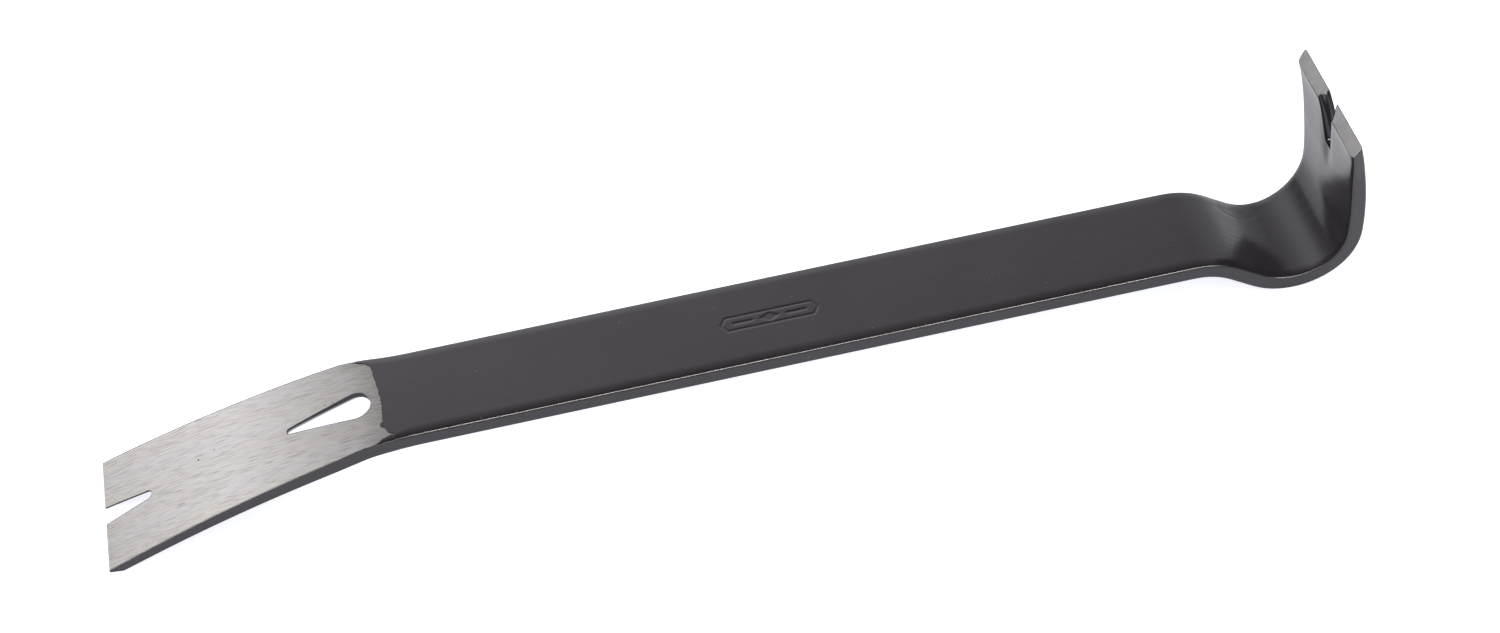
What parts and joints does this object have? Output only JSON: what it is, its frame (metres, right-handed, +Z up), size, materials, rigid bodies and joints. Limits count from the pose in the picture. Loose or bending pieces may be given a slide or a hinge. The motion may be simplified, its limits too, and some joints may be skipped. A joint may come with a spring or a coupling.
{
  "type": "pry bar",
  "caption": "Flat forged pry bar: a notched blade with a teardrop nail slot, a straight shank, and a hump and hook ending in nail claws.",
  "frame": {"origin": "on the surface that the bar lies on, under the middle of its length and width", "axes": "+X along the bar from the blade's tip to the hook, +Y across the bar, +Z up, with the blade's tip and the hook's heel on the surface"},
  "size_m": [0.3862, 0.046, 0.0582],
  "materials": {
    "bare_steel": "ground spring steel, brushed along the bar",
    "black_enamel": "gloss black baked enamel"
  },
  "bodies": {
    "root": {"forged_bar": "bare_steel", "enamel_coat": "black_enamel"}
  },
  "joints": []
}
